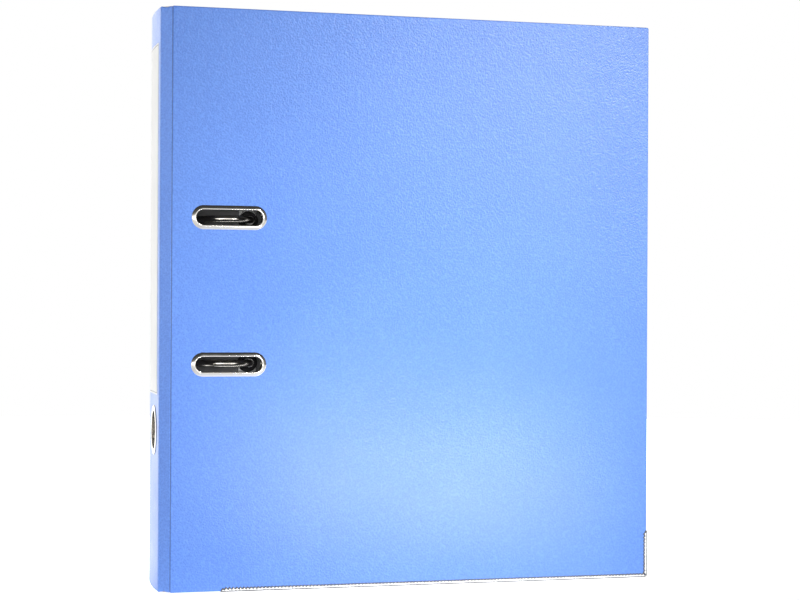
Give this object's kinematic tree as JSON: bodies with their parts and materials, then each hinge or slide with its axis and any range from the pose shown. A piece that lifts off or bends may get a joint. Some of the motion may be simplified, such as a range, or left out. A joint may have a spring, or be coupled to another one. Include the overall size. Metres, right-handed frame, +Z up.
{
  "type": "lever arch file",
  "caption": "Closed A4 lever arch file: creased board case with metal-rimmed slots and finger ring, and a lever-worked arch mechanism riveted inside the back cover.",
  "frame": {"origin": "middle of the footprint on the ground", "axes": "+Z up along the spine, +X from the spine to the fore edges, +Y out of the back cover"},
  "size_m": [0.286, 0.0616, 0.318],
  "materials": {
    "cover_foil": "blue foil with a fine leather grain, satin",
    "greyboard": "plain grey board, matt",
    "lining_paper": "printed lining paper, matt",
    "label_paper": "white label paper, matt",
    "nickel": "bright nickel plate",
    "plated_steel": "bright nickel plate on pressed sheet",
    "plated_wire": "bright nickel plate on drawn wire",
    "black_plastic": "moulded, satin"
  },
  "bodies": {
    "back_cover": {"back_cover_board": "greyboard", "back_cover_wrap": "cover_foil", "back_cover_lining": "lining_paper", "back_edge_protector": "nickel", "base_plate": "plated_steel", "mounting_rivets": "plated_steel", "upper_post": "plated_steel", "lower_post": "plated_steel", "lever_pin": "plated_steel"},
    "rear_strip": {"rear_strip_board": "greyboard", "rear_strip_wrap": "cover_foil", "rear_strip_lining": "lining_paper"},
    "spine": {"spine_board": "greyboard", "spine_wrap": "cover_foil", "spine_lining": "lining_paper", "spine_label": "label_paper", "finger_ring": "nickel", "finger_ring_collar": "nickel"},
    "front_strip": {"front_strip_board": "greyboard", "front_strip_wrap": "cover_foil", "front_strip_lining": "lining_paper"},
    "front_cover": {"front_cover_board": "greyboard", "front_cover_wrap": "cover_foil", "front_cover_lining": "lining_paper", "front_edge_protector": "nickel", "upper_slot_eyelet": "nickel", "lower_slot_eyelet": "nickel"},
    "arch": {"arch_wire": "plated_wire"},
    "roller": {"arch_roller": "black_plastic"},
    "lever": {"lever": "plated_steel"},
    "compressor": {"compressor_bar": "plated_steel", "compressor_bushes": "black_plastic"}
  },
  "joints": [
    {"name": "rear_crease", "type": "hinge", "parent": "back_cover", "child": "rear_strip", "pos_m": [-0.1371, 0.03003, 0.159], "axis": [0, 0, -1], "range_deg": [0, 46.38]},
    {"name": "rear_spine_crease", "type": "hinge", "parent": "rear_strip", "child": "spine", "pos_m": [-0.14262, 0.02424, 0.159], "axis": [0, 0, -1], "range_deg": [0, 46.38]},
    {"name": "front_spine_crease", "type": "hinge", "parent": "spine", "child": "front_strip", "pos_m": [-0.14022, -0.0257, 0.159], "axis": [0, 0, -1], "range_deg": [-1.5, 47.38]},
    {"name": "front_crease", "type": "hinge", "parent": "front_strip", "child": "front_cover", "pos_m": [-0.13408, -0.03083, 0.159], "axis": [0, 0, -1], "range_deg": [-1.5, 47.38]},
    {"name": "lever_pivot", "type": "hinge", "parent": "back_cover", "child": "lever", "pos_m": [-0.0941, 0.01703, 0.1638], "axis": [0, 0, 1], "range_deg": [0, 75]},
    {"name": "arch_pivot", "type": "hinge", "parent": "back_cover", "child": "arch", "pos_m": [-0.1171, 0.01903, 0.1638], "axis": [0, 0, 1], "range_deg": [-37.5, 0]},
    {"name": "roller_spin", "type": "hinge", "parent": "arch", "child": "roller", "pos_m": [-0.1071, 0.01903, 0.1638], "axis": [0, 0, 1], "continuous": true},
    {"name": "compressor_slide", "type": "slide", "parent": "back_cover", "child": "compressor", "axis": [0, -1, 0], "range_m": [0, 0.011]}
  ],
  "couplings": [
    {"joint": "rear_spine_crease", "follows": "rear_crease", "ratio": 1},
    {"joint": "front_crease", "follows": "front_spine_crease", "ratio": 1},
    {"joint": "arch_pivot", "follows": "lever_pivot", "ratio": -0.5}
  ]
}
